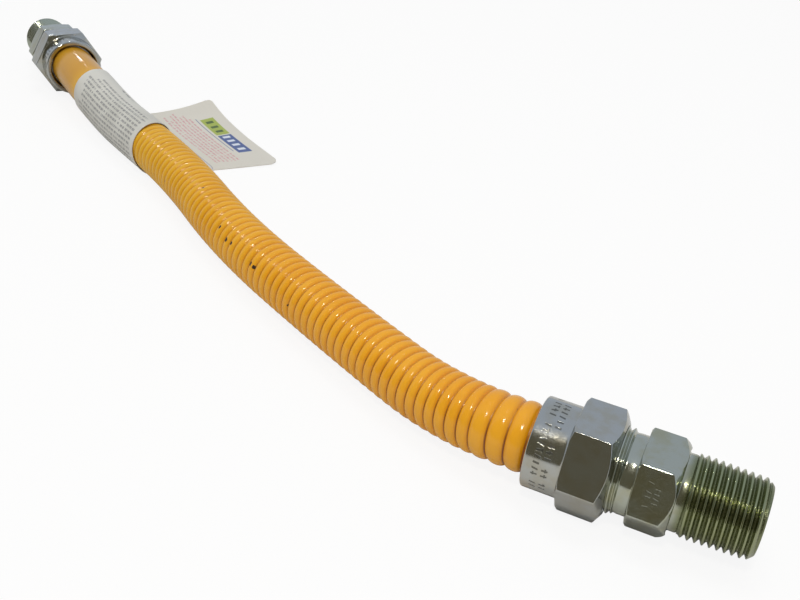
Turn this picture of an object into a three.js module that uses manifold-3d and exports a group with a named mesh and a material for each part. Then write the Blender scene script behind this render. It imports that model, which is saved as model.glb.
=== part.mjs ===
// Flexible gas hose: a coated corrugated tube with a flare nut and a threaded pipe adapter
// on each end, and a paper label wrapped round the tube with its free end standing out as a
// flag. The hose lies at rest. Millimetres, +Z up, the near fitting points along +X, and the
// origin is at the bottom centre of the whole hose.
import * as THREE from 'three';
import Module from 'manifold-3d';
import { mergeVertices } from 'three/addons/utils/BufferGeometryUtils.js';

const wasm = await Module();
wasm.setup();

// Clearances
const runningGap = 0.3; // between pieces that touch, turn or slide
const flareSeatGap = 0.5; // across the conical metal seat of each fitting
const overshoot = 1; // how far a cutting tool runs past the face it cuts

// Corrugated tube
const crestRadius = 9.75;
const valleyRadius = 8.6;
const boreValleyRadius = 6.6;
const boreCrestRadius = 8.1;
const corrugationPitch = 3.5;
const wideCrests = 3;
const wideCrestPitch = 4.8;
const crestRise = 0.32; // share of the pitch where the crest begins
const cuffLength = 28.5; // plain tube between the label and the far nut
const cuffRadius = 9.5;
const coatDepthInNut = 5.3; // how far the coat reaches into each nut
const tubeEndRadius = 8;
const flareRadius = 10.3;
const flareWall = 0.9;
const flareLand = 0.4; // width of the flat rim of the flare

// Route of the tube from the near nut to the far nut, with the turns in degrees
const hoseLength = 315; // between the rear rims of the nuts
const sharpBendLength = 24;
const sharpBendTurn = 18;
const easyBendLength = 26;
const easyBendTurn = 6.5;
const nearSpanLength = 60;
const nearSpanTurn = 2;
const middleBendLength = 60;
const middleBendTurn = 9.1;
const counterBendLength = 60;
const counterBendTurn = 8.7; // the other way
const farSpanTurn = 2.4; // over the rest of the length
const farBendLength = 26;
const farBendTurn = 5.9;
const sagLength = 42; // stretch in which the tube comes down from the near nut to the surface
const farRiseLength = 65; // stretch in which it rises to the far nut
const farTilt = 3.8; // degrees, dip of the far fitting, which lies on the front edge of its nut

// Flare nut
const nutAcrossFlats = 27;
const collarRadius = 12.5;
const collarLength = 9.9;
const nutHexLength = 12;
const nutMouthRadius = 12.3; // round front face left by the chamfer
const nutChamferTurn = 30; // degrees, lean of the chamfer from the front face
const counterboreRadius = 10.6;
const counterboreDepth = 6;
const collarEdge = 0.5;
const seatWall = 2.5; // tube hole between the counterbore and the conical seat

// Pipe adapter
const flareThreadRadius = 11.6;
const flareThreadShown = 2.4;
const flareThreadEdge = 0.6;
const reliefRadius = 10.6;
const noseRadius = 7.2;
const neckRadius = 10.8;
const neckLength = 3.3;
const gasBoreRadius = 6.5;
const adapterAcrossFlats = 23.8;
const adapterHexLength = 10.4;
const nearHexTurn = 6.5; // degrees, how far the near adapter stands turned from its nut
const farHexTurn = 1;
const stepRadius = 10.2;
const stepLength = 2.4;
const pipeThreadPitch = 25.4 / 14;
const pipeThreadRadius = 10.45; // crest radius at the small end
const pipeThreadDepth = 1.15;
const pipeThreadLength = 18.6;
const pipeThreadTaper = 1 / 32; // growth of the radius for each millimetre of length
const pipeThreadChamfer = 1.5;

// Paper label
const paperThickness = 0.35;
const labelWidth = 61.5;
const labelSkew = 12; // degrees, lean of the paper's edges from square to the tube
const labelStartAngle = 118; // degrees from the top of the tube towards the back
const flagLength = 50;
const flagFarCurl = 7; // rise of the flag's outer corner beside the cuff
const flagNearCurl = 2; // and of the other corner
const flagFloorGap = 0.1;

// Facets round the axis and along the tube
const tubeSides = 14;
const boreSides = 8;
const fittingSides = 24;
const threadSides = 20;
const labelSteps = 7;
const wrapSteps = 16;
const flagSteps = 7;

// Sizes that follow from the ones above
const degrees = Math.PI / 180;
const nutCentreHeight = nutAcrossFlats / 2;
const wrapInnerRadius = crestRadius + runningGap;
const wrapOuterRadius = wrapInnerRadius + paperThickness;
const layHeight = wrapOuterRadius + flagFloorGap;
const nearBendsLength = sharpBendLength + easyBendLength + nearSpanLength + middleBendLength;
const farSpanLength = hoseLength - nearBendsLength - counterBendLength - farBendLength;
const hexCornerFactor = 2 / Math.sqrt(3);

// Positions along a fitting, measured from the rear rim of its nut towards its open end
const seatGapAlong = flareSeatGap * Math.SQRT2;
const flareWallAlong = flareWall * Math.SQRT2;
const seatHoleRadius = tubeEndRadius + runningGap;
const seatStart = counterboreDepth + seatWall;
const flareStart = seatStart + seatGapAlong - runningGap;
const flareRimInner = flareRadius - flareLand;
const flareEnd = flareStart + flareWallAlong + flareRimInner - tubeEndRadius;
const threadBoreRadius = flareThreadRadius + runningGap;
const noseLine = flareStart + flareWallAlong + seatGapAlong - tubeEndRadius;
const noseTip = noseLine + noseRadius;
const noseEnd = noseLine + reliefRadius;
const nutEnd = collarLength + nutHexLength;
const nutChamferSlope = Math.tan(nutChamferTurn * degrees);
const nutFlatEnd = nutEnd - (nutCentreHeight - nutMouthRadius) * nutChamferSlope;
const flareThreadStart = noseEnd + runningGap;
const flareThreadEnd = nutEnd + flareThreadShown;
const adapterHexStart = flareThreadEnd + neckLength;
const adapterHexEnd = adapterHexStart + adapterHexLength;
const pipeThreadStart = adapterHexEnd + stepLength;
const adapterEnd = pipeThreadStart + pipeThreadLength;

// Height of the far nut's rim while the front end of one of its flats is on the surface
const tilt = farTilt * degrees;
const farRimHeight = nutCentreHeight * Math.cos(tilt) + nutFlatEnd * Math.sin(tilt);

// Closed solids

function solidFrom(geometry) {
  const bare = geometry.clone();
  bare.deleteAttribute('normal');
  bare.deleteAttribute('uv');
  const merged = mergeVertices(bare, 1e-4);
  const positions = merged.getAttribute('position').array;
  const corners = [];
  for (let i = 0; i < merged.index.count; i += 3) {
    const triangle = [0, 1, 2].map((k) => merged.index.getX(i + k));
    if (new Set(triangle).size === 3) corners.push(triangle);
  }
  if (signedVolume(positions, corners) < 0) corners.forEach((triangle) => triangle.reverse());
  return new wasm.Manifold(new wasm.Mesh({
    numProp: 3,
    vertProperties: new Float32Array(positions),
    triVerts: new Uint32Array(corners.flat()),
  }));
}

function signedVolume(positions, corners) {
  const point = (i) => new THREE.Vector3().fromArray(positions, 3 * i);
  return corners.reduce((sum, [a, b, c]) => sum + point(a).dot(point(b).cross(point(c))) / 6, 0);
}

function geometryFrom(solid) {
  const mesh = solid.getMesh();
  const geometry = new THREE.BufferGeometry();
  geometry.setAttribute('position', new THREE.BufferAttribute(new Float32Array(mesh.vertProperties), 3));
  geometry.setIndex(new THREE.BufferAttribute(new Uint32Array(mesh.triVerts), 1));
  const faceted = geometry.toNonIndexed();
  faceted.computeVertexNormals();
  return faceted;
}

// A turned solid along +X from an outline of [position, radius] points
function turned(outline, sides = fittingSides) {
  const profile = outline.map(([along, radius]) => new THREE.Vector2(radius, along));
  profile.unshift(new THREE.Vector2(0, outline[0][0]));
  profile.push(new THREE.Vector2(0, outline.at(-1)[0]));
  return solidFrom(new THREE.LatheGeometry(profile, sides).rotateZ(-Math.PI / 2));
}

// A hexagonal prism along +X that stands on a flat when its turn is zero
function hexPrism(acrossFlats, start, end, turn = 0) {
  const cornerRadius = (acrossFlats * hexCornerFactor) / 2;
  const prism = new THREE.CylinderGeometry(cornerRadius, cornerRadius, end - start, 6);
  prism.rotateZ(-Math.PI / 2).rotateX(Math.PI / 6 + turn * degrees);
  return solidFrom(prism.translate((start + end) / 2, 0, 0));
}

// Helical thread on a tapered rod along +X, from its large end at 0 to its chamfered tip
function threadedRod() {
  const rowsPerTurn = 2;
  const rows = rowsPerTurn * (Math.ceil(pipeThreadLength / pipeThreadPitch) + 1);
  const rootRadius = (x) => pipeThreadRadius - pipeThreadDepth + (pipeThreadLength - x) * pipeThreadTaper;
  const tipRadius = pipeThreadRadius - pipeThreadChamfer;
  const vertex = (row, side) => {
    const phase = row / rowsPerTurn - 1 + side / threadSides;
    const x = THREE.MathUtils.clamp(phase * pipeThreadPitch, 0, pipeThreadLength);
    const crest = row % rowsPerTurn === 1 && x > 0 ? pipeThreadDepth : 0;
    const radius = Math.min(rootRadius(x) + crest, tipRadius + pipeThreadLength - x);
    const angle = (side / threadSides) * 2 * Math.PI;
    return new THREE.Vector3(x, radius * Math.cos(angle), radius * Math.sin(angle));
  };
  const faces = [];
  for (let side = 0; side < threadSides; side++) {
    for (let row = 0; row < rows; row++) {
      const [a, b] = [vertex(row, side), vertex(row, side + 1)];
      const [c, d] = [vertex(row + 1, side + 1), vertex(row + 1, side)];
      faces.push(a, b, c, a, c, d);
    }
    faces.push(new THREE.Vector3(0, 0, 0), vertex(0, side + 1), vertex(0, side));
    const tip = new THREE.Vector3(pipeThreadLength, 0, 0);
    faces.push(tip, vertex(rows, side), vertex(rows, side + 1));
  }
  return solidFrom(new THREE.BufferGeometry().setFromPoints(faces));
}

// Route of the tube

const stretches = [
  { length: sharpBendLength, turn: sharpBendTurn },
  { length: easyBendLength, turn: easyBendTurn },
  { length: nearSpanLength, turn: nearSpanTurn },
  { length: middleBendLength, turn: middleBendTurn },
  { length: counterBendLength, turn: -counterBendTurn },
  { length: farSpanLength, turn: farSpanTurn },
  { length: farBendLength, turn: farBendTurn },
  { length: Infinity, turn: 0 },
];

// Place and heading in plan at a distance along the route, which runs straight past its ends
function planAt(distance) {
  const place = new THREE.Vector2(Math.max(-distance, 0), 0);
  let heading = Math.PI;
  let left = Math.max(distance, 0);
  for (const stretch of stretches) {
    const step = Math.min(left, stretch.length);
    const turn = stretch.turn === 0 ? 0 : -stretch.turn * degrees * (step / stretch.length);
    const chord = turn === 0 ? step : (step * Math.sin(turn / 2)) / (turn / 2);
    place.x += chord * Math.cos(heading + turn / 2);
    place.y += chord * Math.sin(heading + turn / 2);
    heading += turn;
    left -= step;
    if (left <= 0) break;
  }
  return { place, heading };
}

// The tube comes down from the near nut, and rises in a cubic curve that meets the far nut's axis
function heightAt(distance) {
  if (distance < hoseLength / 2) {
    const lowered = THREE.MathUtils.smoothstep(distance, 0, sagLength);
    return THREE.MathUtils.lerp(nutCentreHeight, layHeight, lowered);
  }
  const toFarNut = hoseLength - distance;
  if (toFarNut < 0) return farRimHeight + toFarNut * Math.tan(tilt);
  const along = Math.max(1 - toFarNut / farRiseLength, 0);
  const risen = THREE.MathUtils.lerp(layHeight, farRimHeight, along * along * (3 - 2 * along));
  return risen + farRiseLength * Math.tan(tilt) * along * along * (1 - along);
}

function centreAt(distance) {
  const { place } = planAt(distance);
  return new THREE.Vector3(place.x, place.y, heightAt(distance));
}

function frameAt(distance) {
  const half = 0.05;
  const centre = centreAt(distance);
  const along = centreAt(distance + half).sub(centreAt(distance - half)).normalize();
  const back = new THREE.Vector3().crossVectors(along, new THREE.Vector3(0, 0, 1)).normalize();
  const up = new THREE.Vector3().crossVectors(back, along);
  return { centre, back, up };
}

// Point at an angle from the top towards the back, seen along the route
function pointRound(distance, angle, radius) {
  const { centre, back, up } = frameAt(distance);
  return centre.addScaledVector(up, radius * Math.cos(angle)).addScaledVector(back, radius * Math.sin(angle));
}

// A closed solid swept along the route through rings of [distance, radius]
function sweptAlongRoute(rings, sides) {
  const ringPoints = rings.map(([distance, radius]) => Array.from({ length: sides }, (_, side) => (
    pointRound(distance, (side / sides) * 2 * Math.PI, radius))));
  const faces = [];
  const caps = [[ringPoints[0], rings[0]], [ringPoints.at(-1), rings.at(-1)]];
  for (let side = 0; side < sides; side++) {
    const next = (side + 1) % sides;
    for (let i = 1; i < rings.length; i++) {
      const [low, high] = [ringPoints[i - 1], ringPoints[i]];
      faces.push(low[side], low[next], high[next], low[side], high[next], high[side]);
    }
    const [startRing, startPlace] = caps[0];
    const [endRing, endPlace] = caps[1];
    faces.push(centreAt(startPlace[0]), startRing[next], startRing[side]);
    faces.push(centreAt(endPlace[0]), endRing[side], endRing[next]);
  }
  return solidFrom(new THREE.BufferGeometry().setFromPoints(faces));
}

// Corrugations between the near nut and the cuff, each with its start and its pitch
function corrugations() {
  const wideEnd = wideCrests * wideCrestPitch;
  const regular = Math.floor((hoseLength - cuffLength - wideEnd) / corrugationPitch);
  const row = (start, pitch, count) => Array.from({ length: count }, (_, i) => [start + i * pitch, pitch]);
  return [...row(0, wideCrestPitch, wideCrests), ...row(wideEnd, corrugationPitch, regular)];
}

function hoseTube() {
  const waves = corrugations();
  const wavesEnd = waves.at(-1)[0] + waves.at(-1)[1];
  const outerNearEnd = [
    [-flareEnd, flareRadius],
    [-flareStart - flareRadius + tubeEndRadius, flareRadius],
    [-flareStart, tubeEndRadius],
    [-coatDepthInNut, tubeEndRadius],
    [-coatDepthInNut, cuffRadius],
  ];
  const innerNearEnd = [
    [-flareEnd - overshoot, flareRimInner + overshoot],
    [-flareEnd + flareRimInner - boreValleyRadius, boreValleyRadius],
  ];
  const mirrored = (rings) => rings.map(([distance, radius]) => [hoseLength - distance, radius]).reverse();
  const outer = [
    ...outerNearEnd,
    [0, cuffRadius],
    ...waves.flatMap(([start, pitch]) => [
      [start + pitch * crestRise / 2, valleyRadius],
      [start + pitch * crestRise, crestRadius],
      [start + pitch * (1 - crestRise / 2), crestRadius],
    ]),
    [wavesEnd + corrugationPitch * crestRise / 2, valleyRadius],
    [wavesEnd + corrugationPitch * crestRise, cuffRadius],
    [wavesEnd + (hoseLength - wavesEnd) / 2, cuffRadius],
    ...mirrored(outerNearEnd),
  ];
  const inner = [
    ...innerNearEnd,
    ...waves.flatMap(([start, pitch]) => [
      [start + pitch * crestRise / 4, boreValleyRadius],
      [start + pitch * (0.5 + crestRise / 4), boreCrestRadius],
    ]),
    [wavesEnd, boreValleyRadius],
    [wavesEnd + (hoseLength - wavesEnd) / 2, boreValleyRadius],
    ...mirrored(innerNearEnd),
  ];
  return sweptAlongRoute(outer, tubeSides).subtract(sweptAlongRoute(inner, boreSides));
}

// Flare nut and pipe adapter, both along +X from the rear rim of the nut

function flareNut() {
  const hexRadius = (nutAcrossFlats * hexCornerFactor) / 2;
  const chamferStart = nutEnd - (hexRadius - nutMouthRadius) * nutChamferSlope;
  const cornerRadius = hexRadius + runningGap;
  const hex = hexPrism(nutAcrossFlats, collarLength, nutEnd).intersect(turned([
    [collarLength - overshoot, cornerRadius],
    [chamferStart, cornerRadius],
    [nutEnd, nutMouthRadius],
  ]));
  const collar = turned([
    [0, collarRadius - collarEdge],
    [collarEdge, collarRadius],
    [collarLength + overshoot, collarRadius],
  ]);
  const passage = turned([
    [-overshoot, counterboreRadius],
    [counterboreDepth, counterboreRadius],
    [counterboreDepth, seatHoleRadius],
    [seatStart, seatHoleRadius],
    [seatStart + threadBoreRadius - seatHoleRadius, threadBoreRadius],
    [nutEnd + overshoot, threadBoreRadius],
  ]);
  return hex.add(collar).subtract(passage);
}

function pipeAdapter(hexTurn) {
  const cornerRadius = (adapterAcrossFlats * hexCornerFactor) / 2;
  const faceRadius = adapterAcrossFlats / 2;
  const chamferLength = cornerRadius - faceRadius;
  const hex = hexPrism(adapterAcrossFlats, adapterHexStart, adapterHexEnd, hexTurn).intersect(turned([
    [adapterHexStart, cornerRadius - runningGap],
    [adapterHexStart + runningGap, cornerRadius + runningGap],
    [adapterHexEnd - chamferLength, cornerRadius + runningGap],
    [adapterHexEnd, faceRadius - runningGap],
  ]));
  const flareEndBody = turned([
    [noseTip, noseRadius],
    [noseEnd, reliefRadius],
    [flareThreadStart, reliefRadius],
    [flareThreadStart, flareThreadRadius - flareThreadEdge],
    [flareThreadStart + flareThreadEdge, flareThreadRadius],
    [flareThreadEnd - flareThreadEdge, flareThreadRadius],
    [flareThreadEnd, neckRadius],
    [adapterHexStart + overshoot, neckRadius],
  ]);
  const step = turned([[adapterHexEnd - overshoot, stepRadius], [pipeThreadStart + runningGap, stepRadius]]);
  const thread = threadedRod().translate([pipeThreadStart, 0, 0]);
  const bore = turned([[noseTip - overshoot, gasBoreRadius], [adapterEnd + overshoot, gasBoreRadius]]);
  return hex.add(flareEndBody).add(step).add(thread).subtract(bore);
}

// Label: a strip of paper that winds once round the tube and runs out behind it as a flag

// Place of the paper's middle surface in a section, and how far along the strip that is
function stripSection() {
  const middleRadius = (wrapInnerRadius + wrapOuterRadius) / 2;
  const startAngle = labelStartAngle * degrees;
  const sweep = startAngle + Math.PI;
  const stations = [];
  for (let i = 0; i <= wrapSteps; i++) {
    const angle = startAngle - (sweep * i) / wrapSteps;
    const [across, height] = [middleRadius * Math.sin(angle), middleRadius * Math.cos(angle)];
    stations.push({ across, height, angle, out: 0, strip: (sweep * i * middleRadius) / wrapSteps });
  }
  const wrapEnd = stations.at(-1);
  for (let i = 1; i <= flagSteps; i++) {
    const out = i / flagSteps;
    const across = wrapEnd.across + flagLength * out;
    const strip = wrapEnd.strip + flagLength * out;
    stations.push({ ...wrapEnd, across, out, strip });
  }
  return stations;
}

function wrapLabel() {
  const stations = stripSection();
  const topStrip = (labelStartAngle * degrees * (wrapInnerRadius + wrapOuterRadius)) / 2;
  const farEdge = hoseLength - cuffLength;
  const point = (step, station, side) => {
    const lean = (station.strip - topStrip) * Math.tan(labelSkew * degrees);
    const { centre, back, up } = frameAt(farEdge - (labelWidth * step) / labelSteps - lean);
    const curl = THREE.MathUtils.lerp(flagFarCurl, flagNearCurl, step / labelSteps);
    const angle = station.angle - Math.atan((2 * curl * station.out) / flagLength);
    const offset = (side * paperThickness) / 2;
    centre.addScaledVector(back, station.across + offset * Math.sin(angle));
    return centre.addScaledVector(up, station.height + curl * station.out ** 2 + offset * Math.cos(angle));
  };
  const faces = [];
  const quad = (a, b, c, d) => faces.push(a, b, c, a, c, d);
  for (let i = 1; i < stations.length; i++) {
    const [from, to] = [stations[i - 1], stations[i]];
    for (let step = 0; step < labelSteps; step++) {
      quad(point(step, from, 1), point(step, to, 1), point(step + 1, to, 1), point(step + 1, from, 1));
      quad(point(step, from, -1), point(step + 1, from, -1), point(step + 1, to, -1), point(step, to, -1));
    }
    quad(point(0, from, 1), point(0, from, -1), point(0, to, -1), point(0, to, 1));
    const edge = (station, side) => point(labelSteps, station, side);
    quad(edge(from, 1), edge(to, 1), edge(to, -1), edge(from, -1));
  }
  const first = (step, side) => point(step, stations[0], side);
  const last = (step, side) => point(step, stations.at(-1), side);
  for (let step = 0; step < labelSteps; step++) {
    quad(first(step, 1), first(step + 1, 1), first(step + 1, -1), first(step, -1));
    quad(last(step, 1), last(step, -1), last(step + 1, -1), last(step + 1, 1));
  }
  return solidFrom(new THREE.BufferGeometry().setFromPoints(faces));
}

// Assembly

const yellowCoat = { color: 0xf2a91c, roughness: 0.3, metalness: 0 };
const zincPlate = { color: 0x9aa0a0, roughness: 0.28, metalness: 0.9 };
const paper = { color: 0xdfe1e0, roughness: 0.6, metalness: 0 };

function part(name, solid, finish) {
  const mesh = new THREE.Mesh(geometryFrom(solid), new THREE.MeshStandardMaterial(finish));
  mesh.name = name;
  return mesh;
}

function fitting(end, distance, heading, dip, hexTurn) {
  const group = new THREE.Group();
  group.add(part(`${end}_nut`, flareNut(), zincPlate));
  group.add(part(`${end}_adapter`, pipeAdapter(hexTurn), zincPlate));
  group.position.copy(centreAt(distance));
  group.rotation.set(0, dip, heading, 'ZYX');
  return group;
}

const hose = new THREE.Group();
hose.add(part('hose_tube', hoseTube(), yellowCoat));
hose.add(part('wrap_label', wrapLabel(), paper));
hose.add(fitting('near', 0, 0, 0, nearHexTurn));
hose.add(fitting('far', hoseLength, planAt(hoseLength).heading, tilt, farHexTurn));

hose.updateMatrixWorld(true);
const extent = new THREE.Box3().setFromObject(hose, true);
const middle = extent.getCenter(new THREE.Vector3());
hose.position.set(-middle.x, -middle.y, -extent.min.z);

export default hose;
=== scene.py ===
"""Looks of the flexible gas hose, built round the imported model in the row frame."""
import math

import bpy
import numpy as np
from mathutils import Matrix, Vector


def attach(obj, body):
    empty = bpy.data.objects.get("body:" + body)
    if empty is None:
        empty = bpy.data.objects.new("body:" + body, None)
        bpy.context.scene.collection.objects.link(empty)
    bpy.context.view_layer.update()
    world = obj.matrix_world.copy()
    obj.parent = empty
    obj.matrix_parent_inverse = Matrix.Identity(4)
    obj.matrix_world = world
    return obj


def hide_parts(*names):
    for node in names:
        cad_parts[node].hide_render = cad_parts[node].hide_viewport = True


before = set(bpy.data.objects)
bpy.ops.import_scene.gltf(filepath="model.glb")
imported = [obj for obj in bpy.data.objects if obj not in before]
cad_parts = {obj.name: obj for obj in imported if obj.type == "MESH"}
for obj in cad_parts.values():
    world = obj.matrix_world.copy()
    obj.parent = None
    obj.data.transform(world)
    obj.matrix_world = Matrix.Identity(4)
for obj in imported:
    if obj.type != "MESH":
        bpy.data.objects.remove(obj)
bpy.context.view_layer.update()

MM = 0.001
TURN = 2 * math.pi

# Route of the tube, in millimetres and degrees, from the near nut's rear rim
NEAR_RIM = np.array([136.4294, -84.2118, 0.0038])
STRETCHES = [(24, 18), (26, 6.5), (60, 2), (60, 9.1), (60, -8.7), (59, 2.4), (26, 5.9), (math.inf, 0)]
HOSE_LENGTH = 315.0
SAG_LENGTH = 42.0
FAR_RISE_LENGTH = 65.0
FAR_TILT = math.radians(3.8)
NUT_HEIGHT = 13.5
NUT_FLAT_END = 21.207
FAR_RIM_HEIGHT = NUT_HEIGHT * math.cos(FAR_TILT) + NUT_FLAT_END * math.sin(FAR_TILT)
LAY_HEIGHT = 10.5

# Corrugated tube
CREST_RADIUS = 9.75
VALLEY_RADIUS = 8.6
CUFF_RADIUS = 9.5
COAT_BORE_RADIUS = 8.3
STEEL_RADIUS = 8.15
STEEL_BORE_RADIUS = 6.6
PITCH = 3.5
WIDE_PITCH = 4.8
WIDE_CRESTS = 3
GROOVE_SHIFT = 0.16  # share of a pitch from a corrugation's start to the middle of its groove
CUFF_LENGTH = 28.5
COAT_DEPTH = 5.3

# Fittings, measured along each from the rear rim of its nut
NUT_FLATS, COLLAR_RADIUS, COLLAR_LENGTH, NUT_HEX_LENGTH, NUT_MOUTH = 27.0, 12.5, 9.9, 12.0, 12.3
NUT_END = COLLAR_LENGTH + NUT_HEX_LENGTH
NUT_SHOULDER, COUNTERBORE_RADIUS, PASSAGE_RADIUS, NUT_BORE_RADIUS = 14.6, 10.6, 8.3, 11.9
ADAPTER_FLATS, ADAPTER_HEX_START, ADAPTER_HEX_END, ADAPTER_SHOULDER = 23.8, 27.6, 38.0, 12.9
NECK_RADIUS, STEP_RADIUS = 10.8, 10.2
FLARE_PITCH, FLARE_ROOT, FLARE_DEPTH, FLARE_LENGTH, FLARE_START = 1.5875, 10.75, 0.85, 10.5, 13.8
THREAD_PITCH, THREAD_DEPTH, THREAD_LENGTH, THREAD_START = 25.4 / 14, 1.15, 18.6, 40.4
THREAD_TIP_RADIUS, TIP_RADIUS, BORE_RADIUS = 10.45, 8.95, 6.5
TAPER_RUN = 32.0  # the pipe thread grows by one millimetre in radius over this length
CHAMFER_SLOPE = math.tan(math.radians(30))

# Label
PAPER = 0.3
WRAP_RADIUS = 10.08
LABEL_WIDTH = 61.5
LABEL_SKEW = 12.0
LABEL_START = 118.0
FLAG_LENGTH = 50.0
FLAG_FAR_CURL, FLAG_NEAR_CURL = 7.0, 0.9
WRAP_MIDDLE = WRAP_RADIUS + PAPER / 2
WRAP_LENGTH = math.radians(LABEL_START + 180) * WRAP_MIDDLE


def plan_at(distance):
    """Place and heading in plan, each stretch of the route being an arc of its length and degrees."""
    place, heading, left = np.array([max(-distance, 0.0), 0.0]), math.pi, max(distance, 0.0)
    for length, turn in STRETCHES:
        step = min(left, length)
        bend = -math.radians(turn) * step / length if turn else 0.0
        chord = step * math.sin(bend / 2) / (bend / 2) if bend else step
        place = place + chord * np.array([math.cos(heading + bend / 2), math.sin(heading + bend / 2)])
        heading += bend
        left -= step
        if left <= 0:
            break
    return place, heading


def smooth(x):
    x = np.clip(x, 0, 1)
    return x * x * (3 - 2 * x)


def height_at(distance):
    """The tube comes down from the near nut, and rises to meet the axis of the far one."""
    if distance < HOSE_LENGTH / 2:
        return NUT_HEIGHT + (LAY_HEIGHT - NUT_HEIGHT) * smooth(distance / SAG_LENGTH)
    to_far_nut = HOSE_LENGTH - distance
    if to_far_nut < 0:
        return FAR_RIM_HEIGHT + to_far_nut * math.tan(FAR_TILT)
    along = max(1 - to_far_nut / FAR_RISE_LENGTH, 0.0)
    risen = LAY_HEIGHT + (FAR_RIM_HEIGHT - LAY_HEIGHT) * smooth(along)
    return risen + FAR_RISE_LENGTH * math.tan(FAR_TILT) * along * along * (1 - along)


def centre_at(distance):
    place, _ = plan_at(distance)
    return NEAR_RIM + np.array([*place, height_at(distance)])


def frame_at(distance):
    """Centre of the tube, the way to its back and the way up, square to the route."""
    along = centre_at(distance + 0.05) - centre_at(distance - 0.05)
    along /= np.linalg.norm(along)
    back = np.cross(along, [0, 0, 1])
    back /= np.linalg.norm(back)
    return centre_at(distance), back, np.cross(back, along)


def direction(turn, rise):
    """Unit vector at a turn in plan and a rise above the level, both in radians."""
    return Vector((math.cos(rise) * math.cos(turn), math.cos(rise) * math.sin(turn), math.sin(rise)))


# Camera
def add_camera():
    focal_pixels, picture_pixels, sensor = 952.5, 800, 36
    data = bpy.data.cameras.new("camera")
    data.lens = focal_pixels * sensor / picture_pixels
    data.sensor_width = sensor
    data.clip_start = 0.01
    yaw, pitch, roll = (math.radians(a) for a in (112.39, -32.54, 5.28))
    forward = direction(yaw, pitch)
    level = forward.cross(Vector((0, 0, 1))).normalized()
    upright = level.cross(forward)
    right = math.cos(roll) * level + math.sin(roll) * upright
    top = math.cos(roll) * upright - math.sin(roll) * level
    camera = bpy.data.objects.new("camera", data)
    turned = Matrix((right, top, -forward)).transposed().to_4x4()
    camera.matrix_world = Matrix.Translation(Vector((0.1742965, -0.279133, 0.177664))) @ turned
    bpy.context.scene.collection.objects.link(camera)
    bpy.context.scene.camera = camera


add_camera()


# Meshes
def weld(points, faces):
    """One vertex at each place, and no face that has fewer than three or lies back to back with another."""
    _, first, index = np.unique(np.round(points, 4), axis=0, return_index=True, return_inverse=True)
    index = index.reshape(-1)
    kept = {}
    for face in index[np.asarray(faces)]:
        ring = [int(v) for i, v in enumerate(face) if v != face[i - 1]]
        if len(set(ring)) == len(ring) >= 3 and kept.pop(frozenset(ring), None) is None:
            kept[frozenset(ring)] = ring
    used = sorted({v for ring in kept.values() for v in ring})
    number = {v: i for i, v in enumerate(used)}
    return first[used], [[number[v] for v in ring] for ring in kept.values()]


def make_piece(name, points, faces, local, material, body, matrix=None):
    """points and local in millimetres, local being the place that the material reads."""
    points, local = np.asarray(points, float).reshape(-1, 3), np.asarray(local, float).reshape(-1, 3)
    first, faces = weld(points, faces)
    points, local = points[first], local[first]
    if matrix is not None:
        points = points @ matrix[:3, :3].T + matrix[:3, 3]
    mesh = bpy.data.meshes.new(name)
    mesh.from_pydata((points * MM).tolist(), [], faces)
    attribute = mesh.attributes.new("local", "FLOAT_VECTOR", "POINT")
    attribute.data.foreach_set("vector", local.astype(np.float32).ravel())
    mesh.update()
    mesh.shade_smooth()
    mesh.materials.append(material)
    piece = bpy.data.objects.new(name, mesh)
    bpy.context.scene.collection.objects.link(piece)
    face_out(mesh)
    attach(piece, body)
    return piece


def face_out(mesh):
    """Turns the faces outwards where the closed mesh is inside out."""
    points = np.empty(len(mesh.vertices) * 3)
    mesh.vertices.foreach_get("co", points)
    points = points.reshape(-1, 3)
    mesh.calc_loop_triangles()
    corners = np.empty(len(mesh.loop_triangles) * 3, int)
    mesh.loop_triangles.foreach_get("vertices", corners)
    a, b, c = points[corners.reshape(-1, 3)].transpose(1, 0, 2)
    if np.einsum("ij,ij->i", a, np.cross(b, c)).sum() < 0:
        mesh.flip_normals()


def grid_faces(rows, columns):
    """Quads of a grid of rows by columns, whose last row meets its first."""
    faces = []
    for i in range(rows):
        j = np.arange(columns - 1)
        low, high = i * columns + j, (i + 1) % rows * columns + j
        faces.append(np.stack([low, low + 1, high + 1, high], 1))
    return np.concatenate(faces)


# Materials
def new_material(name):
    material = bpy.data.materials.new(name)
    material.use_nodes = True
    return material, material.node_tree, material.node_tree.nodes["Principled BSDF"]


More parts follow.
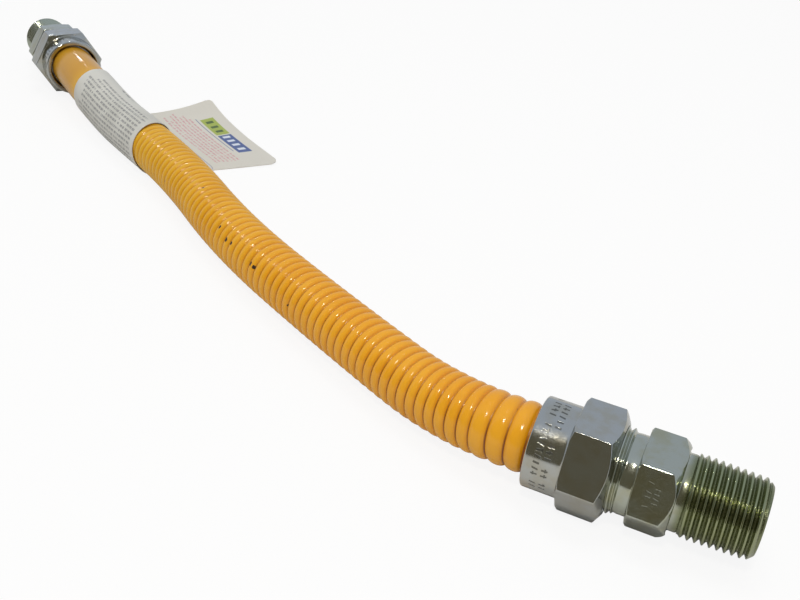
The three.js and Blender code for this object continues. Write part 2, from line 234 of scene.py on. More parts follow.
class Nodes:
    """Short names for the nodes of one material."""

    def __init__(self, tree):
        self.tree = tree

    def put(self, socket, value):
        if isinstance(value, bpy.types.NodeSocket):
            self.tree.links.new(value, socket)
        else:
            socket.default_value = value

    def math(self, operation, *values):
        node = self.tree.nodes.new("ShaderNodeMath")
        node.operation = operation
        for socket, value in zip(node.inputs, values):
            self.put(socket, value)
        return node.outputs[0]

    def add(self, a, b):
        return self.math("ADD", a, b)

    def sub(self, a, b):
        return self.math("SUBTRACT", a, b)

    def mul(self, a, b):
        return self.math("MULTIPLY", a, b)

    def div(self, a, b):
        return self.math("DIVIDE", a, b)

    def above(self, a, b):
        return self.math("GREATER_THAN", a, b)

    def below(self, a, b):
        return self.math("LESS_THAN", a, b)

    def larger(self, a, b):
        return self.math("MAXIMUM", a, b)

    def size(self, a):
        return self.math("ABSOLUTE", a)

    def floor(self, a):
        return self.math("FLOOR", a)

    def fract(self, a):
        return self.math("FRACT", a)

    def length(self, a, b):
        return self.math("SQRT", self.add(self.mul(a, a), self.mul(b, b)))

    def local(self):
        node = self.tree.nodes.new("ShaderNodeAttribute")
        node.attribute_name = "local"
        split = self.tree.nodes.new("ShaderNodeSeparateXYZ")
        self.put(split.inputs[0], node.outputs["Vector"])
        return node.outputs["Vector"], *split.outputs

    def vector(self, x, y, z):
        node = self.tree.nodes.new("ShaderNodeCombineXYZ")
        for socket, value in zip(node.inputs, (x, y, z)):
            self.put(socket, value)
        return node.outputs[0]

    def noise(self, vector, scale, detail):
        node = self.tree.nodes.new("ShaderNodeTexNoise")
        self.put(node.inputs["Vector"], vector)
        self.put(node.inputs["Scale"], scale)
        self.put(node.inputs["Detail"], detail)
        return node.outputs["Fac"]

    def random(self, x, y):
        node = self.tree.nodes.new("ShaderNodeTexWhiteNoise")
        node.noise_dimensions = "2D"
        self.put(node.inputs["Vector"], self.vector(x, y, 0.0))
        return node.outputs["Value"]

    def ramp(self, value, low, high, start=0.0, end=1.0):
        node = self.tree.nodes.new("ShaderNodeMapRange")
        node.interpolation_type = "SMOOTHSTEP"
        for socket, number in zip(node.inputs, (value, low, high, start, end)):
            self.put(socket, number)
        return node.outputs[0]

    def mix(self, share, low, high):
        node = self.tree.nodes.new("ShaderNodeMix")
        node.data_type = "RGBA"
        # the colours go in at sockets 6 and 7, and come out at 2
        for socket, value in ((node.inputs["Factor"], share), (node.inputs[6], low), (node.inputs[7], high)):
            self.put(socket, value)
        return node.outputs[2]

    def bump(self, height, distance, strength):
        node = self.tree.nodes.new("ShaderNodeBump")
        for key, value in (("Strength", strength), ("Distance", distance), ("Height", height)):
            self.put(node.inputs[key], value)
        return node.outputs[0]

    def object_place(self):
        return self.tree.nodes.new("ShaderNodeTexCoord").outputs["Object"]


def rgb(red, green, blue):
    """A colour given as it looks on the screen, from 0 to 255."""
    shares = [c / 255 for c in (red, green, blue)]
    linear = [c / 12.92 if c <= 0.0404 else ((c + 0.055) / 1.055) ** 2.4 for c in shares]
    return (*linear, 1.0)


# Chips in the coat: distance along the tube, degrees from the top to the back, length, width
CHIPS = [
    (189, -78, 0.8, 0.8), (164, -18, 0.5, 0.6), (139.2, -48, 0.6, 0.8), (132.5, -58, 0.9, 1.0),
    (129.3, -56, 0.9, 0.8), (115.6, -60, 0.9, 1.1), (113.5, -62, 0.7, 0.9), (92, -80, 0.5, 0.7),
    (62, 118, 0.7, 0.9), (172, 96, 0.5, 1.0), (78, 150, 0.8, 0.7),
]


def coat_material():
    """Glossy coat: local is (distance, degrees from the top to the back, radius)."""
    material, tree, shader = new_material("yellow_coat")
    n = Nodes(tree)
    _, along, angle, radius = n.local()
    arc = n.mul(angle, math.pi / 180 * CREST_RADIUS)
    place = n.vector(along, arc, 0.0)
    texture = n.object_place()
    cloud = n.noise(texture, 45.0, 3.0)
    speck = n.noise(texture, 900.0, 2.0)
    # the colour, a little greyer towards the far end
    far_part = n.ramp(along, 60.0, 230.0)
    deep = n.mix(far_part, rgb(236, 163, 26), rgb(224, 168, 32))
    bright = n.mix(far_part, rgb(241, 172, 38), rgb(230, 177, 44))
    colour = n.mix(n.ramp(cloud, 0.35, 0.65), deep, bright)
    # painted shade: darker slopes and brown grooves, the grooves darker away from the top of the tube; then
    # a duller cuff and dark specks in the grooves
    slope_shade = n.ramp(radius, VALLEY_RADIUS + 1.1, VALLEY_RADIUS + 0.25)
    colour = n.mix(n.mul(slope_shade, 0.4), colour, rgb(206, 126, 8))
    # the grooves are painted brown as shade, more so away from the top of the tube
    groove = n.ramp(radius, VALLEY_RADIUS + 0.55, VALLEY_RADIUS + 0.05)
    side_and_under_shade = n.ramp(n.size(angle), 15.0, 75.0, 0.3, 1.0)
    colour = n.mix(n.mul(groove, side_and_under_shade), colour, rgb(128, 64, 2))
    cuff = n.ramp(along, HOSE_LENGTH - CUFF_LENGTH - 4, HOSE_LENGTH - CUFF_LENGTH + 8)
    colour = n.mix(n.mul(cuff, 0.8), colour, rgb(206, 150, 44))
    # dark specks in the grooves
    groove_specks = n.mul(n.ramp(speck, 0.62, 0.74), groove)
    colour = n.mix(n.mul(groove_specks, 0.5), colour, rgb(120, 70, 14))
    # chips down to the dark steel
    worn = None
    ragged = n.mul(n.noise(place, 1.9, 3.0), 0.9)
    for distance, degrees, length, width in CHIPS:
        x = n.div(n.sub(along, distance), length)
        y = n.div(n.sub(arc, math.radians(degrees) * CREST_RADIUS), width)
        reach = n.length(x, y)
        spot = n.ramp(n.add(reach, ragged), 1.35, 1.15)
        worn = spot if worn is None else n.larger(worn, spot)
    colour = n.mix(worn, colour, rgb(52, 34, 16))
    n.put(shader.inputs["Base Color"], colour)
    # gloss, and the faint ripple of a dipped coat
    gloss = n.ramp(cloud, 0.3, 0.7, 0.13, 0.19)
    dull = n.larger(n.mul(worn, 0.35), n.mul(groove, 0.2))
    n.put(shader.inputs["Roughness"], n.add(gloss, dull))
    shader.inputs["IOR"].default_value = 1.48
    ripple = n.noise(n.vector(n.mul(along, 0.6), arc, 0.0), 0.5, 3.0)
    height = n.sub(n.mul(ripple, 0.6), n.mul(worn, 0.5))
    n.put(shader.inputs["Normal"], n.bump(height, 0.00018, 0.35))
    return material


def zinc_material(name, stamps, pale, warm, thread_shade_tint=None):
    """Zinc plate: local is (along, sideways, up) in the fitting.

    stamps are rows of punched strokes, and the last argument is the colour painted on the pipe thread: an
    olive tint that stands in for painted reflection and painted shade.
    """
    material, tree, shader = new_material(name)
    n = Nodes(tree)
    place, x, y, z = n.local()
    cloud = n.noise(place, 0.22, 4.0)
    fine = n.noise(place, 2.2, 3.0)
    colour = n.mix(n.ramp(cloud, 0.4, 0.68), pale, warm)
    radius = n.length(y, z)
    rings = n.noise(n.vector(n.mul(x, 5.0), n.mul(radius, 5.0), 0.0), 1.0, 2.0)
    rough = n.ramp(fine, 0.3, 0.7, 0.1, 0.17)
    if thread_shade_tint is not None:
        crest = n.add(n.div(n.sub(THREAD_START + THREAD_LENGTH, x), TAPER_RUN), THREAD_TIP_RADIUS)
        depth = n.sub(crest, radius)
        on_thread = n.mul(n.ramp(x, ADAPTER_HEX_END, THREAD_START), n.above(radius, 8.6))
        groove = n.mul(n.ramp(depth, 0.25, 0.95), on_thread)
        # the pipe thread is painted in a darker olive tint than the zinc: painted reflection and painted
        # shade; its grooves are painted darker still as shade
        colour = n.mix(n.mul(on_thread, 0.8), colour, thread_shade_tint)
        colour = n.mix(n.mul(groove, 0.45), colour, rgb(96, 100, 70))
        rough = n.add(rough, n.mul(groove, 0.15))
    mark = None
    for stamp in stamps:
        found = stamp(n, x, y, z, radius)
        mark = found if mark is None else n.larger(mark, found)
    height = n.add(n.mul(fine, 0.25), n.mul(rings, 0.2))
    if mark is not None:
        colour = n.mix(n.mul(mark, 0.7), colour, rgb(70, 70, 62))
        height = n.sub(height, n.mul(mark, 4.0))
        rough = n.add(rough, n.mul(mark, 0.2))
    n.put(shader.inputs["Base Color"], colour)
    n.put(shader.inputs["Roughness"], rough)
    n.put(shader.inputs["Normal"], n.bump(height, 0.00003, 0.35))
    shader.inputs["Metallic"].default_value = 1.0
    return material


def collar_strokes(start, row_pitch, seed):
    """Two rows of short punched strokes round the collar."""
    def stamp(n, x, y, z, radius):
        cell_width = 1.7
        turn = n.mul(n.math("ARCTAN2", y, z), COLLAR_RADIUS)
        row = n.floor(n.div(n.sub(x, start), row_pitch))
        cell = n.floor(n.div(turn, cell_width))
        within = n.sub(n.div(turn, cell_width), cell)
        depth = n.fract(n.div(n.sub(x, start), row_pitch))
        draw = n.random(n.add(cell, seed), row)
        second_draw = n.random(n.add(cell, seed + 57.0), row)
        shown = n.above(draw, 0.3)
        lean = n.mul(n.sub(second_draw, 0.5), 0.7)
        line = n.size(n.sub(n.sub(within, 0.45), n.mul(n.sub(depth, 0.5), lean)))
        stroke = n.ramp(line, 0.19, 0.12)
        level = n.size(n.sub(depth, n.add(0.2, n.mul(draw, 0.6))))
        bar = n.mul(n.ramp(level, 0.11, 0.06), n.above(second_draw, 0.5))
        bar = n.mul(bar, n.ramp(n.size(n.sub(within, 0.5)), 0.36, 0.3))
        tall = n.ramp(n.size(n.sub(depth, 0.5)), 0.36, 0.3)
        on_row = n.mul(n.above(x, start), n.below(x, start + 2 * row_pitch))
        front = n.above(n.sub(z, n.mul(y, 0.6)), -9.0)
        outside = n.above(radius, 11.8)
        mark = n.larger(n.mul(stroke, tall), bar)
        for factor in (shown, on_row, front, outside):
            mark = n.mul(mark, factor)
        return mark
    return stamp


def flat_strokes(centre, turn, row_pitch, seed):
    """Two short rows of faint strokes on the flat that faces the front."""
    def stamp(n, x, y, z, radius):
        angle = math.radians(150 + turn)
        across = n.add(n.mul(y, -math.sin(angle)), n.mul(z, math.cos(angle)))
        out = n.add(n.mul(y, math.cos(angle)), n.mul(z, math.sin(angle)))
        u = n.div(n.sub(x, centre), row_pitch)
        row = n.floor(u)
        v = n.div(across, 1.25)
        cell = n.floor(v)
        draw = n.random(n.add(cell, seed), row)
        lean = n.mul(n.sub(draw, 0.5), 0.8)
        inner = n.sub(n.fract(u), 0.5)
        line = n.size(n.sub(n.sub(n.fract(v), 0.5), n.mul(inner, lean)))
        mark = n.mul(n.ramp(line, 0.16, 0.08), n.ramp(n.size(inner), 0.36, 0.3))
        for factor in (n.above(draw, 0.25), n.above(out, 11.0),
                       n.below(n.size(n.sub(x, centre)), row_pitch), n.below(n.size(across), 3.4)):
            mark = n.mul(mark, factor)
        return n.mul(mark, 0.6)
    return stamp


def paper_material():
    """Label paper: local is (across the label from its near edge, along the strip, face)."""
    material, tree, shader = new_material("label_paper")
    n = Nodes(tree)
    _, u, strip, face = n.local()
    texture = n.object_place()
    fibre = n.noise(texture, 1500.0, 3.0)
    cloud = n.noise(texture, 60.0, 3.0)
    out = n.sub(strip, WRAP_LENGTH)
    on_flag = n.above(out, 0.0)
    colour = n.mix(n.ramp(cloud, 0.35, 0.65), rgb(204, 203, 195), rgb(215, 214, 207))
    # the flag is painted lighter than the wrap, though both are one paper: painted light on the flag and
    # painted shade on the wrap
    colour = n.mix(n.mul(on_flag, 0.8), colour, rgb(220, 217, 208))
    # print lies on the outside of the turn round the tube and on the upper side of the flag
    side = n.mul(face, n.sub(1.0, n.mul(on_flag, 2.0)))
    printed = n.above(side, 0.5)

    def band(value, low, high):
        soft = 0.15
        return n.mul(n.ramp(value, low - soft, low + soft), n.ramp(value, high + soft, high - soft))

    def field(height, low, high, left, right):
        return n.mul(band(height, low, high), band(u, left, right))

    def rows(height, start, pitch, count, left, right, seed, letter):
        """Rows of short broken strokes that run across the label."""
        place = n.div(n.sub(height, start), pitch)
        row = n.floor(place)
        depth = n.sub(place, row)
        shift = n.mul(n.random(row, seed), 9.0)
        word = n.fract(n.div(n.add(u, shift), 5.4 * letter))
        cells = n.div(n.add(u, shift), letter)
        cell = n.floor(cells)
        draw = n.random(cell, n.add(row, seed + 31.0))
        tall = n.add(0.56, n.mul(draw, 0.24))
        mark = n.mul(n.ramp(depth, 0.18, 0.26), n.below(depth, tall))
        end = n.sub(right, n.mul(n.random(row, seed + 7.0), 8.0))
        for factor in (n.below(n.sub(cells, cell), 0.74), n.above(draw, 0.14), n.above(word, 0.16),
                       n.above(place, 0.0), n.below(place, float(count)), n.above(u, left), n.below(u, end)):
            mark = n.mul(mark, factor)
        return mark

    def lay(colour, mark, ink, strength):
        return n.mix(n.mul(n.mul(mark, printed), strength), colour, ink)

    grey, pink, blue = rgb(84, 86, 92), rgb(205, 96, 126), rgb(40, 78, 150)
    colour = lay(colour, rows(strip, 19.5, 1.95, 14, 3.0, 59.0, 3.0, 0.46), grey, 0.75)
    colour = lay(colour, rows(strip, 14.2, 2.6, 1, 28.0, 45.0, 90.0, 1.4), grey, 0.8)
    colour = lay(colour, band(out, 22.1, 22.6), blue, 0.4)
    colour = lay(colour, rows(out, 25.3, 1.6, 7, 6.0, 59.0, 41.0, 0.5), pink, 0.65)
    # a line over a block of two coloured fields, with bars in each
    colour = lay(colour, field(out, 37.7, 38.1, 15.0, 50.0), blue, 0.7)
    colour = lay(colour, field(out, 39.2, 45.2, 32.4, 48.5), rgb(160, 178, 60), 0.9)
    colour = lay(colour, field(out, 39.2, 45.2, 13.0, 31.6), blue, 0.9)
    for left in (35.0, 39.6, 44.2):
        colour = lay(colour, field(out, 40.6, 43.8, left, left + 2.0), rgb(64, 92, 60), 0.9)
    for left in (15.4, 19.8, 24.2, 28.4):
        colour = lay(colour, field(out, 40.6, 43.8, left, left + 1.9), rgb(226, 232, 242), 0.95)
    n.put(shader.inputs["Base Color"], colour)
    n.put(shader.inputs["Roughness"], n.ramp(fibre, 0.3, 0.7, 0.42, 0.58))
    n.put(shader.inputs["Normal"], n.bump(n.add(n.mul(fibre, 0.4), cloud), 0.00012, 0.5))
    return material


coat = coat_material()
paper = paper_material()
steel = zinc_material("tube_steel", [], rgb(196, 198, 196), rgb(184, 184, 176))


# Hose
def waves():
    """Start and pitch of each corrugation."""
    wide_end = WIDE_CRESTS * WIDE_PITCH
    count = int((HOSE_LENGTH - CUFF_LENGTH - wide_end) // PITCH)
    return [(i * WIDE_PITCH, WIDE_PITCH) for i in range(WIDE_CRESTS)] + [
        (wide_end + i * PITCH, PITCH) for i in range(count)]


def wave_rings():
    """Rounded crests with narrow grooves between them."""
    rings = []
    samples = 12
    rise = CREST_RADIUS - VALLEY_RADIUS
    for start, pitch in waves():
        groove = start + pitch * GROOVE_SHIFT
        for k in range(samples):
            x = (k / samples) * 2 - 1
            crest = max(0.0, 1 - abs(x) ** 2.3) ** 0.7
            rings.append((groove + pitch * (x + 1) / 2, VALLEY_RADIUS + rise * crest))
    start, pitch = waves()[-1]
    end = start + pitch * (1 + GROOVE_SHIFT)
    rings.append((end, VALLEY_RADIUS))
    for share in (0.12, 0.3, 0.55, 0.8, 1.0):
        quarter = (1 - (1 - share) ** 2) ** 0.5
        rings.append((end + 1.1 * share, VALLEY_RADIUS + (CUFF_RADIUS - VALLEY_RADIUS) * quarter))
    return rings


def sweep(name, rings, sides, material):
    """A closed tube along the route through rings of distance and radius, the last joined to the first."""
    angles = np.linspace(0, TURN, sides + 1)
    points, local = [], []
    for distance, radius in rings:
        centre, back, upward = frame_at(distance)
        outwards = np.cos(angles)[:, None] * upward + np.sin(angles)[:, None] * back
        points.append(centre + radius * outwards)
        degrees = np.degrees((angles + math.pi) % TURN - math.pi)
        local.append(np.stack([np.full_like(angles, distance), degrees, np.full_like(angles, radius)], 1))
    points, local = np.concatenate(points), np.concatenate(local)
    return make_piece(name, points, grid_faces(len(rings), sides + 1), local, material, "hose")


def add_hose():
    """The coat, whose plain ends go into the nuts."""
    first, last = -COAT_DEPTH, HOSE_LENGTH + COAT_DEPTH
    near_end = [(first, COAT_BORE_RADIUS), (first, 8.9), (first, 9.3), (first + 0.06, 9.42),
                (first + 0.25, CUFF_RADIUS), (first + 2, CUFF_RADIUS), (-0.6, CUFF_RADIUS), (0.0, 9.35)]
    body = wave_rings()
    cuff_start = body[-1][0]
    cuff = [(d, CUFF_RADIUS) for d in np.linspace(cuff_start + 1.0, last - 0.25, 22)]
    far_end = [(last - 0.06, 9.42), (last, 9.3), (last, 8.9), (last, COAT_BORE_RADIUS)]
    inner = [(d, COAT_BORE_RADIUS) for d in np.linspace(last - 6, first + 6, 60)]
    return sweep("hose_coat", near_end + body + cuff + far_end + inner, 60, coat)


def add_steel_tube():
    """The steel tube inside the coat, with a flare at each end."""
    flare = [(-14.1, 9.95), (-13.9, 10.2), (-13.6, 10.3), (-11.3, 10.3), (-11.0, 10.1), (-8.9, 8.0),
             (-8.5, 7.95), (-5.5, 7.95), (-5.0, STEEL_RADIUS)]
    mouth = [(-14.1, 9.7), (-11.2, 6.8), (-10.6, STEEL_BORE_RADIUS), (-5.0, STEEL_BORE_RADIUS)]

    def mirrored(rings):
        return [(HOSE_LENGTH - d, r) for d, r in reversed(rings)]

    outer = flare + [(d, STEEL_RADIUS) for d in np.linspace(0, HOSE_LENGTH, 60)] + mirrored(flare)
    wave = 0.6
    bore = []
    for start, pitch in waves():
        for share in (0.0, 0.25, 0.5, 0.75):
            bore.append((start + pitch * share, STEEL_BORE_RADIUS + wave - wave * math.cos(share * TURN)))
    bore += [(d, STEEL_BORE_RADIUS) for d in np.linspace(HOSE_LENGTH - CUFF_LENGTH + 4, HOSE_LENGTH, 5)]
    inner = mouth + bore + mirrored(mouth)
    return sweep("hose_steel", outer + list(reversed(inner)), 36, steel)


# Fittings
def hexagon(flats, turn, rounding, steps):
    """Angles from sideways up, and radii, of a hexagon with rounded corners."""
    apothem, angles, radii = flats / 2, [], []
    half = (apothem - rounding) * math.tan(math.radians(30))
    for k in range(6):
        middle = math.radians(30 + 60 * k)
        edge = [(apothem, t) for t in np.linspace(-half, half, steps)]
        edge[1], edge[-2] = (apothem, -half + 0.12), (apothem, half - 0.12)
        for bend in np.radians([15, 30, 45]):
            edge.append((apothem - rounding + rounding * math.cos(bend), half + rounding * math.sin(bend)))
        for out, side in edge:
            angles.append(middle + math.atan2(side, out))
            radii.append(math.hypot(out, side))
    angles, radii = np.array(angles + [angles[0] + TURN]), np.array(radii + [radii[0]])
    return angles + math.radians(turn), radii


def shell(name, rows, angles, matrix, material, body):
    """A closed ring of rows, each an array of places along the axis and an array of radii."""
    points = []
    for along, radius in rows:
        along, radius = np.broadcast_to(along, angles.shape), np.broadcast_to(radius, angles.shape)
        points.append(np.stack([along, radius * np.cos(angles), radius * np.sin(angles)], 1))
    points = np.concatenate(points)
    faces = grid_faces(len(rows), len(angles))
    return make_piece(name, points, faces, points, material, body, matrix)


def nut(name, body, matrix, material):
    """Long flare nut, whose rows go over the outside to the mouth and back through the bore."""
    angles, hexed = hexagon(NUT_FLATS, 0, 0.45, 14)
    chamfer = NUT_END - np.maximum(hexed - NUT_MOUTH, 0) * CHAMFER_SLOPE
    rear = COLLAR_LENGTH + np.maximum(hexed - NUT_SHOULDER, 0) * 0.6
    # rear face and its rounded rim
    rounding = 0.5
    rows = [(0.0, 10.9), (0.0, 11.2), (0.0, 11.9)]
    for angle in np.radians(np.linspace(175, 95, 5)):
        radius = COLLAR_RADIUS - rounding + rounding * math.sin(angle)
        rows.append((rounding + rounding * math.cos(angle), radius))
    # collar, with a small fillet up to the hexagon
    rows += [(x, COLLAR_RADIUS) for x in (0.8, 3.0, 6.0, 9.0)]
    rows += [(COLLAR_LENGTH - back, COLLAR_RADIUS + rise)
             for back, rise in ((0.5, 0.02), (0.2, 0.1), (0.04, 0.25), (0.0, 0.4))]
    # hexagon, chamfered at its rear and more at its front
    rows += [(COLLAR_LENGTH, np.minimum(hexed - 0.25, NUT_SHOULDER)), (rear, hexed - 0.18),
             (rear + 0.06, hexed - 0.05), (rear + 0.2, hexed), (rear + 0.6, hexed), (14.0, hexed),
             (18.0, hexed), (chamfer - 0.5, hexed), (chamfer - 0.12, hexed),
             (chamfer + 0.1 * CHAMFER_SLOPE + 0.02, hexed - 0.1),
             (chamfer + 0.3 * CHAMFER_SLOPE, hexed - 0.3), (NUT_END - 0.3 * CHAMFER_SLOPE, NUT_MOUTH + 0.3)]
    # front face and mouth
    rows += [(NUT_END - 0.04, NUT_MOUTH + 0.06), (NUT_END, NUT_MOUTH - 0.04), (NUT_END, 12.1),
             (NUT_END - 0.03, 12.0), (NUT_END - 0.25, NUT_BORE_RADIUS), (NUT_END - 0.8, NUT_BORE_RADIUS)]
    # bore of the thread, cone behind the flare, passage and counterbore
    rows += [(17.0, NUT_BORE_RADIUS), (12.6, NUT_BORE_RADIUS), (12.2, 11.85), (8.65, 8.4)]
    rows += [(x, PASSAGE_RADIUS) for x in (8.4, 7.0, 6.1)]
    rows += [(6.0, 8.4), (6.0, 9.5), (6.0, 10.4), (5.9, 10.55)]
    rows += [(x, COUNTERBORE_RADIUS) for x in (5.7, 3.0, 0.5)] + [(0.2, 10.65), (0.04, 10.78)]
    return shell(name, rows, angles, matrix, material, body)


def thread_rows(angles, start, length, pitch, shape, limit):
    """Rows that follow a helix, with shape(phase, along, raw) the radius and limit(along) its most.

    along stays within the thread's length, and raw goes on past both its ends.
    """
    rows = []
    turned = (angles - angles[0]) / TURN
    phases = [0.0, 0.05, 0.08, 0.16, 0.25, 0.34, 0.42, 0.46, 0.54, 0.58, 0.66, 0.75, 0.84, 0.92, 0.95]
    for k in range(-1, math.ceil(length / pitch) + 1):
        for phase in phases:
            raw = (k + phase + turned) * pitch
            along = np.clip(raw, 0, length)
            rows.append((start + along, np.minimum(shape(phase, along, raw), limit(along))))
    return rows


def vee(phase):
    """Height of a sixty degree thread, from 0 at its root to 1 at its crest."""
    gap = min(phase % 1, 1 - phase % 1)
    return float(np.clip((0.44 - gap) / 0.36, 0, 1))


def adapter(name, body, matrix, material, turn):
    """Pipe adapter, whose rows go over the outside from the nose to the tip and back through the bore."""
    angles, hexed = hexagon(ADAPTER_FLATS, turn, 0.4, 12)

    def flare_shape(phase, along, raw):
        return FLARE_ROOT + FLARE_DEPTH * vee(phase)

    def flare_limit(along):
        return FLARE_ROOT + np.minimum(along * 1.2, (FLARE_LENGTH - along) * 1.6)

    def pipe_shape(phase, along, raw):
        root = THREAD_TIP_RADIUS - THREAD_DEPTH + (THREAD_LENGTH - along) / TAPER_RUN
        runout = np.clip(raw / 2.2, 0.0, 1.0)
        cut = vee(phase) * (0.35 + 0.65 * runout) + 0.4 * (1 - runout)
        return np.where(raw > 0, root + THREAD_DEPTH * cut, root)

    def pipe_limit(along):
        return TIP_RADIUS + THREAD_LENGTH - along

    # conical nose, flare thread and neck
    rows = [(10.09, 6.6), (10.09, 7.1), (10.2, 7.25), (11.8, 8.9), (13.4, 10.5), (13.6, 10.6),
            (13.75, 10.65)]
    rows += thread_rows(angles, FLARE_START, FLARE_LENGTH, FLARE_PITCH, flare_shape, flare_limit)
    rows += [(24.4, 10.7), (24.6, 10.68), (25.0, 10.75)] + [(x, NECK_RADIUS) for x in (25.3, 26.5, 27.2)]
    rows += [(27.45, NECK_RADIUS + 0.05), (27.58, NECK_RADIUS + 0.2)]
    # hexagon, chamfered at its rear and more at its front
    face = ADAPTER_FLATS / 2
    chamfer = ADAPTER_HEX_END - np.maximum(hexed - face, 0)
    rear = ADAPTER_HEX_START + np.maximum(hexed - ADAPTER_SHOULDER, 0) * 0.5
    rows += [(ADAPTER_HEX_START, np.minimum(hexed - 0.25, ADAPTER_SHOULDER)), (rear, hexed - 0.15),
             (rear + 0.05, hexed - 0.05), (rear + 0.2, hexed), (rear + 0.6, hexed), (31.0, hexed),
             (34.0, hexed), (chamfer - 1.0, hexed), (chamfer - 0.45, hexed), (chamfer - 0.18, hexed - 0.03),
             (chamfer - 0.05, hexed - 0.14), (chamfer + 0.1, hexed - 0.3),
             (ADAPTER_HEX_END - 0.15, np.minimum(hexed - 0.4, face - 0.15)), (ADAPTER_HEX_END, face - 0.4)]
    # short round step
    rows += [(ADAPTER_HEX_END, 11.0), (ADAPTER_HEX_END, 10.5), (ADAPTER_HEX_END + 0.08, 10.3),
             (ADAPTER_HEX_END + 0.3, STEP_RADIUS), (39.0, STEP_RADIUS), (39.7, STEP_RADIUS), (40.1, 10.15),
             (40.35, 9.95)]
    # pipe thread, tip and bore
    rows += thread_rows(angles, THREAD_START, THREAD_LENGTH, THREAD_PITCH, pipe_shape, pipe_limit)
    end = THREAD_START + THREAD_LENGTH
    rows += [(end, 8.8), (end, 8.0), (end, 7.2), (end - 0.06, 6.95), (end - 0.5, 6.52)]
    rows += [(x, BORE_RADIUS) for x in (end - 0.8, 55.0, 48.0, 40.0, 32.0, 24.0, 16.0, 11.0, 10.3)]
    rows += [(10.15, 6.52)]
    return shell(name, rows, angles, matrix, material, body)


def placed(distance, heading, dip):
    """Matrix from a fitting's own millimetres to the row frame's."""
    matrix = np.eye(4)
    matrix[:3, :3] = Matrix.Rotation(heading, 3, "Z") @ Matrix.Rotation(dip, 3, "Y")
    matrix[:3, 3] = centre_at(distance)
    return matrix


def add_fitting(end, distance, heading, dip, hex_turn, seed, thread_shade_tint):
    """A nut and its adapter at one end of the tube."""
    matrix = placed(distance, heading, dip)
    nut_metal = zinc_material(f"{end}_nut_zinc", [collar_strokes(2.2, 2.6, seed)],
                              rgb(188, 190, 186), rgb(184, 182, 170))
    adapter_metal = zinc_material(f"{end}_adapter_zinc", [flat_strokes(32.6, hex_turn, 2.0, seed)],
                                  rgb(186, 190, 178), rgb(180, 180, 156), thread_shade_tint)
    front = nut(f"{end}_nut_detail", f"{end}_nut", matrix, nut_metal)
    tip = adapter(f"{end}_adapter_detail", f"{end}_adapter", matrix, adapter_metal, hex_turn)
    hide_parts(f"{end}_nut")
    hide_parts(f"{end}_adapter")
    return [front, tip]


# Label
def flag_reach(share):
    """How far the flag reaches at a share of its width, its outer corners rounded off."""
    reach = 1.0 - 0.015 * (1 - share)
    for corner, size in ((0.0, 0.05), (1.0, 0.07)):
        near = 1 - abs(share - corner) / size
        if near > 0:
            reach -= 1.1 * size * (1 - math.sqrt(max(0, 1 - near * near)))
    return reach


def paper_at(strip, share):
    """Way to the back, height and tilt of the paper: round the tube, and then out as the flag."""
    if strip <= WRAP_LENGTH:
        angle = math.radians(LABEL_START) - strip / WRAP_MIDDLE
        return WRAP_MIDDLE * math.sin(angle), WRAP_MIDDLE * math.cos(angle), angle
    far = (strip - WRAP_LENGTH) / FLAG_LENGTH * flag_reach(share)
    lift = FLAG_NEAR_CURL + (FLAG_FAR_CURL - FLAG_NEAR_CURL) * (1 - share) ** 2.4
    lift -= 0.6 * math.sin(math.pi * share)
    wave = 0.25 * math.sin(3.1 * share + 0.6) * far
    height = -WRAP_MIDDLE + lift * far ** 3 + wave * far
    return FLAG_LENGTH * far, height, -math.pi - math.atan(3 * lift * far ** 2 / FLAG_LENGTH)


def add_label():
    """Paper wound once over the tube, which runs out behind it as a flag."""
    flag_shares = np.linspace(0, 1, 49)[1:]
    strips = np.concatenate([np.linspace(0, WRAP_LENGTH, 97), WRAP_LENGTH + FLAG_LENGTH * flag_shares])
    shares = np.linspace(0, 1, 65)
    top = math.radians(LABEL_START) * WRAP_MIDDLE
    rows = {1: [], -1: []}
    local = {1: [], -1: []}
    for strip in strips:
        lean = (strip - top) * math.tan(math.radians(LABEL_SKEW))
        for share in shares:
            across, height, tilt = paper_at(strip, share)
            centre, back, upward = frame_at(HOSE_LENGTH - CUFF_LENGTH - LABEL_WIDTH * share - lean)
            for side in (1, -1):
                offset = side * PAPER / 2
                outwards = back * (across + offset * math.sin(tilt))
                rows[side].append(centre + outwards + upward * (height + offset * math.cos(tilt)))
                local[side].append((LABEL_WIDTH * (1 - share), strip, side))
    # both faces and the rim between them
    count = len(strips) * len(shares)
    top_face = np.arange(count).reshape(len(strips), len(shares))
    faces = []
    for grid in (top_face, top_face + count):
        quads = np.stack([grid[:-1, :-1], grid[1:, :-1], grid[1:, 1:], grid[:-1, 1:]], -1)
        faces.append(quads.reshape(-1, 4))
    faces[1] = faces[1][:, ::-1]
    rim = np.concatenate([top_face[0, :], top_face[1:, -1], top_face[-1, -2::-1], top_face[-2::-1, 0]])
    for a, b in zip(rim[:-1], rim[1:]):
        faces.append(np.array([[a, b, b + count, a + count]]))
    piece = make_piece("wrap_label_paper", np.concatenate([rows[1], rows[-1]]), np.concatenate(faces),
                       np.concatenate([local[1], local[-1]]), paper, "hose")
    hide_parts("wrap_label")
    # the cut edges stay crisp
    piece.data.set_sharp_from_angle(angle=math.radians(50))
    return piece


hose = add_hose()
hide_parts("hose_tube")
steel_tube = add_steel_tube()
label = add_label()
# the near thread is painted darker than the far one: painted shade
near = add_fitting("near", 0.0, 0.0, 0.0, 6.5, 5.0, rgb(150, 156, 112))
far = add_fitting("far", HOSE_LENGTH, plan_at(HOSE_LENGTH)[1], FAR_TILT, 1.0, 23.0, rgb(174, 182, 162))

route = [[float(x) * MM for x in centre_at(distance)]
         for distance in np.linspace(-COAT_DEPTH, HOSE_LENGTH + COAT_DEPTH, 40)]


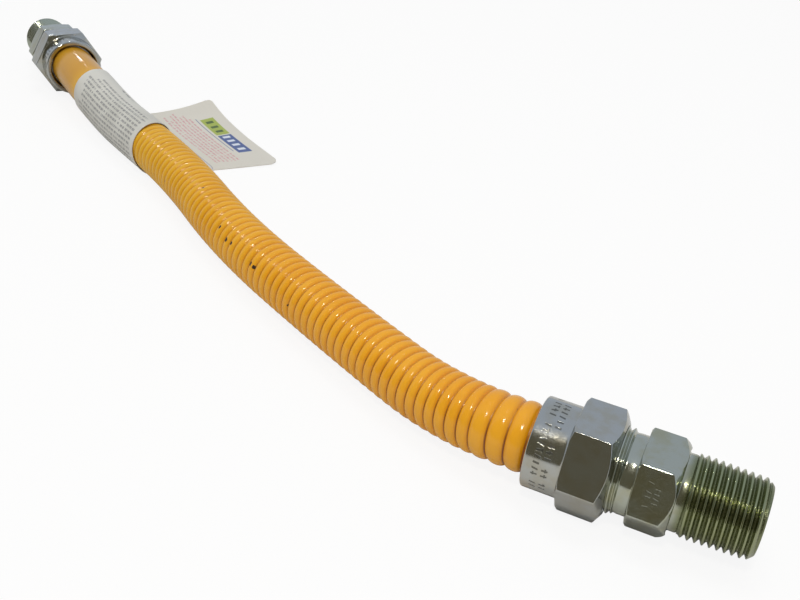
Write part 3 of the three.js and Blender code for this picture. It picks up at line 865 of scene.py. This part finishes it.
# Stage: a pale floor, soft lights, and surroundings that look dark in front and pale behind in the metal
def add_stage():
    mesh = bpy.data.meshes.new("floor")
    reach = 6.0
    corners = [(x * reach, y * reach, 0) for x, y in ((-1, -1), (1, -1), (1, 1), (-1, 1))]
    mesh.from_pydata(corners, [], [(0, 1, 2, 3)])
    floor = bpy.data.objects.new("floor", mesh)
    bpy.context.scene.collection.objects.link(floor)
    material, tree, shader = new_material("pale_floor")
    shader.inputs["Base Color"].default_value = (0.72, 0.72, 0.72, 1)
    shader.inputs["Roughness"].default_value = 0.9
    # the camera sees the floor nearly white, with its shadows faint
    rays = tree.nodes.new("ShaderNodeLightPath")
    white = tree.nodes.new("ShaderNodeEmission")
    share = Nodes(tree).mul(rays.outputs["Is Camera Ray"], 0.86)
    blend = tree.nodes.new("ShaderNodeMixShader")
    for socket, source in zip(blend.inputs, (share, shader.outputs[0], white.outputs[0])):
        tree.links.new(source, socket)
    tree.links.new(blend.outputs[0], tree.nodes["Material Output"].inputs["Surface"])
    white.inputs["Strength"].default_value = 1.03
    mesh.materials.append(material)


def add_lamp(name, azimuth, elevation, distance, size, power, colour, mirrored=True):
    """A round lamp that looks at the middle, and shows in glossy surfaces where it is mirrored."""
    data = bpy.data.lights.new(name, "AREA")
    data.shape = "DISK"
    data.size = size
    data.energy = power
    data.color = colour
    way = direction(math.radians(azimuth), math.radians(elevation))
    lamp = bpy.data.objects.new(name, data)
    lamp.location = way * distance
    lamp.rotation_euler = way.to_track_quat("Z", "Y").to_euler()
    lamp.visible_glossy = mirrored
    bpy.context.scene.collection.objects.link(lamp)


def add_world():
    world = bpy.data.worlds.new("world")
    bpy.context.scene.world = world
    world.use_nodes = True
    tree = world.node_tree
    n = Nodes(tree)
    back = tree.nodes["Background"]
    rays = tree.nodes.new("ShaderNodeLightPath")
    way = tree.nodes.new("ShaderNodeTexCoord").outputs["Generated"]
    split = tree.nodes.new("ShaderNodeSeparateXYZ")
    tree.links.new(way, split.inputs[0])
    behind = n.ramp(split.outputs[1], -0.52, -0.3)
    pale = n.mix(behind, (0.14, 0.13, 0.095, 1), (0.5, 0.55, 0.64, 1))
    fill = n.mix(rays.outputs["Is Glossy Ray"], (0.5, 0.5, 0.5, 1), pale)
    colour = n.mix(rays.outputs["Is Camera Ray"], fill, (1, 1, 1, 1))
    tree.links.new(colour, back.inputs[0])
    back.inputs[1].default_value = 1.0


add_stage()
add_world()
add_lamp("key", -70.9, 56.7, 0.837, 0.085, 1.8, (1.0, 0.95, 0.86))
add_lamp("top", 90, 84, 1.3, 0.5, 3.5, (0.95, 0.98, 1.0), mirrored=False)
add_lamp("back", 139.3, 24.2, 1.026, 0.03, 0.16, (0.96, 0.98, 1.0))
bpy.context.scene.view_settings.view_transform = "Standard"
